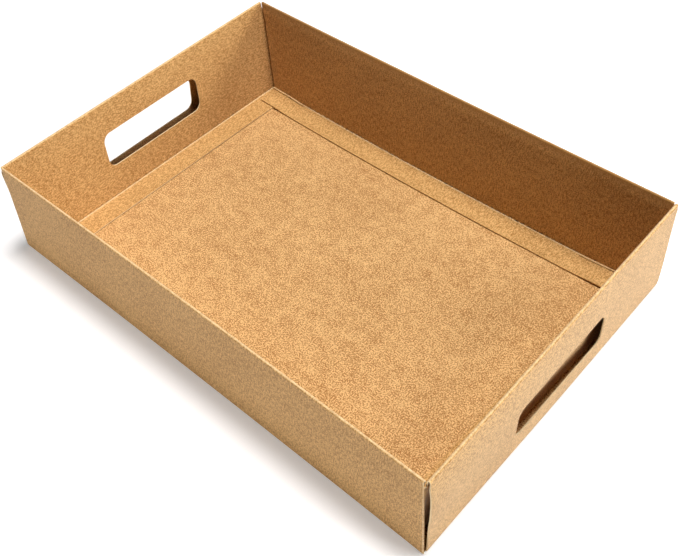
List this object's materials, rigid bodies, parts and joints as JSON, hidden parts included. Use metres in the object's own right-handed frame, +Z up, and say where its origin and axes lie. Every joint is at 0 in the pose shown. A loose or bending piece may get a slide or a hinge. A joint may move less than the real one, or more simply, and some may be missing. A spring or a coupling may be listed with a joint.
{
  "type": "cardboard carrying tray",
  "caption": "Shallow open tray folded from one sheet of kraft board, with hollow walls rolled over at the rim, flaps laid on the floor and a hand hole through each end.",
  "frame": {"origin": "middle of the underside, on the surface that the tray stands on", "axes": "+X along the long walls towards one hand hole, +Y across the tray, +Z up towards the open side"},
  "size_m": [0.4592, 0.318, 0.094],
  "materials": {
    "kraft_board": "matte, unprinted brown kraft board"
  },
  "bodies": {
    "root": {"tray": "kraft_board"}
  },
  "joints": []
}
